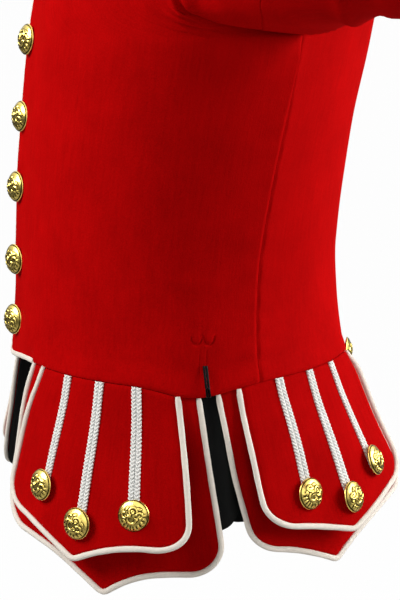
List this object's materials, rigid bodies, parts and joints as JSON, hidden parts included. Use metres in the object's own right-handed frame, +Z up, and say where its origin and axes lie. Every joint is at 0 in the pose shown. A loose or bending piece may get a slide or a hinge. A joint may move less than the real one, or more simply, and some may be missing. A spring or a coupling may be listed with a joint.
{
  "type": "military dress tunic",
  "caption": "Worn scarlet wool Highland doublet: hollow bodice with stand collar, open sleeves and white piped double skirt flaps with braid and domed gilt buttons.",
  "frame": {"origin": "between the wearer's shoulders, on the centre line, 447 mm above the waist seam at the sides of the front", "axes": "+X to the wearer's left, -Y forward, +Z up"},
  "size_m": [1.3772, 0.4625, 0.6674],
  "materials": {
    "scarlet_wool": "milled wool with a short nap",
    "black_lining": "soft cotton lining",
    "white_trim": "off-white piping and flat braid",
    "gilt_brass": "stamped gilt brass, darker in its hollows",
    "black_wire": "black japanned wire"
  },
  "bodies": {
    "root": {"front_left": "scarlet_wool", "back_left": "scarlet_wool", "top_sleeve_left": "scarlet_wool", "under_sleeve_left": "scarlet_wool", "front_right": "scarlet_wool", "back_right": "scarlet_wool", "top_sleeve_right": "scarlet_wool", "under_sleeve_right": "scarlet_wool", "collar": "scarlet_wool", "front_under_flap_left": "scarlet_wool", "front_over_flap_left": "scarlet_wool", "front_under_piping_left": "white_trim", "front_over_piping_left": "white_trim", "front_flap_lining_left": "black_lining", "front_braid_left": "white_trim", "button_front_flap_left_1": "gilt_brass", "button_front_flap_left_2": "gilt_brass", "button_front_flap_left_3": "gilt_brass", "rear_under_flap_left": "scarlet_wool", "rear_over_flap_left": "scarlet_wool", "rear_under_piping_left": "white_trim", "rear_over_piping_left": "white_trim", "rear_flap_lining_left": "black_lining", "rear_braid_left": "white_trim", "button_rear_flap_left_1": "gilt_brass", "button_rear_flap_left_2": "gilt_brass", "button_rear_flap_left_3": "gilt_brass", "button_back_left": "gilt_brass", "edge_piping_left": "white_trim", "belt_hook_left": "black_wire", "front_under_flap_right": "scarlet_wool", "front_over_flap_right": "scarlet_wool", "front_under_piping_right": "white_trim", "front_over_piping_right": "white_trim", "front_flap_lining_right": "black_lining", "front_braid_right": "white_trim", "button_front_flap_right_1": "gilt_brass", "button_front_flap_right_2": "gilt_brass", "button_front_flap_right_3": "gilt_brass", "rear_under_flap_right": "scarlet_wool", "rear_over_flap_right": "scarlet_wool", "rear_under_piping_right": "white_trim", "rear_over_piping_right": "white_trim", "rear_flap_lining_right": "black_lining", "rear_braid_right": "white_trim", "button_rear_flap_right_1": "gilt_brass", "button_rear_flap_right_2": "gilt_brass", "button_rear_flap_right_3": "gilt_brass", "button_back_right": "gilt_brass", "edge_piping_right": "white_trim", "belt_hook_right": "black_wire", "button_front_1": "gilt_brass", "button_front_2": "gilt_brass", "button_front_3": "gilt_brass", "button_front_4": "gilt_brass", "button_front_5": "gilt_brass", "button_front_6": "gilt_brass", "button_front_7": "gilt_brass"}
  },
  "joints": []
}
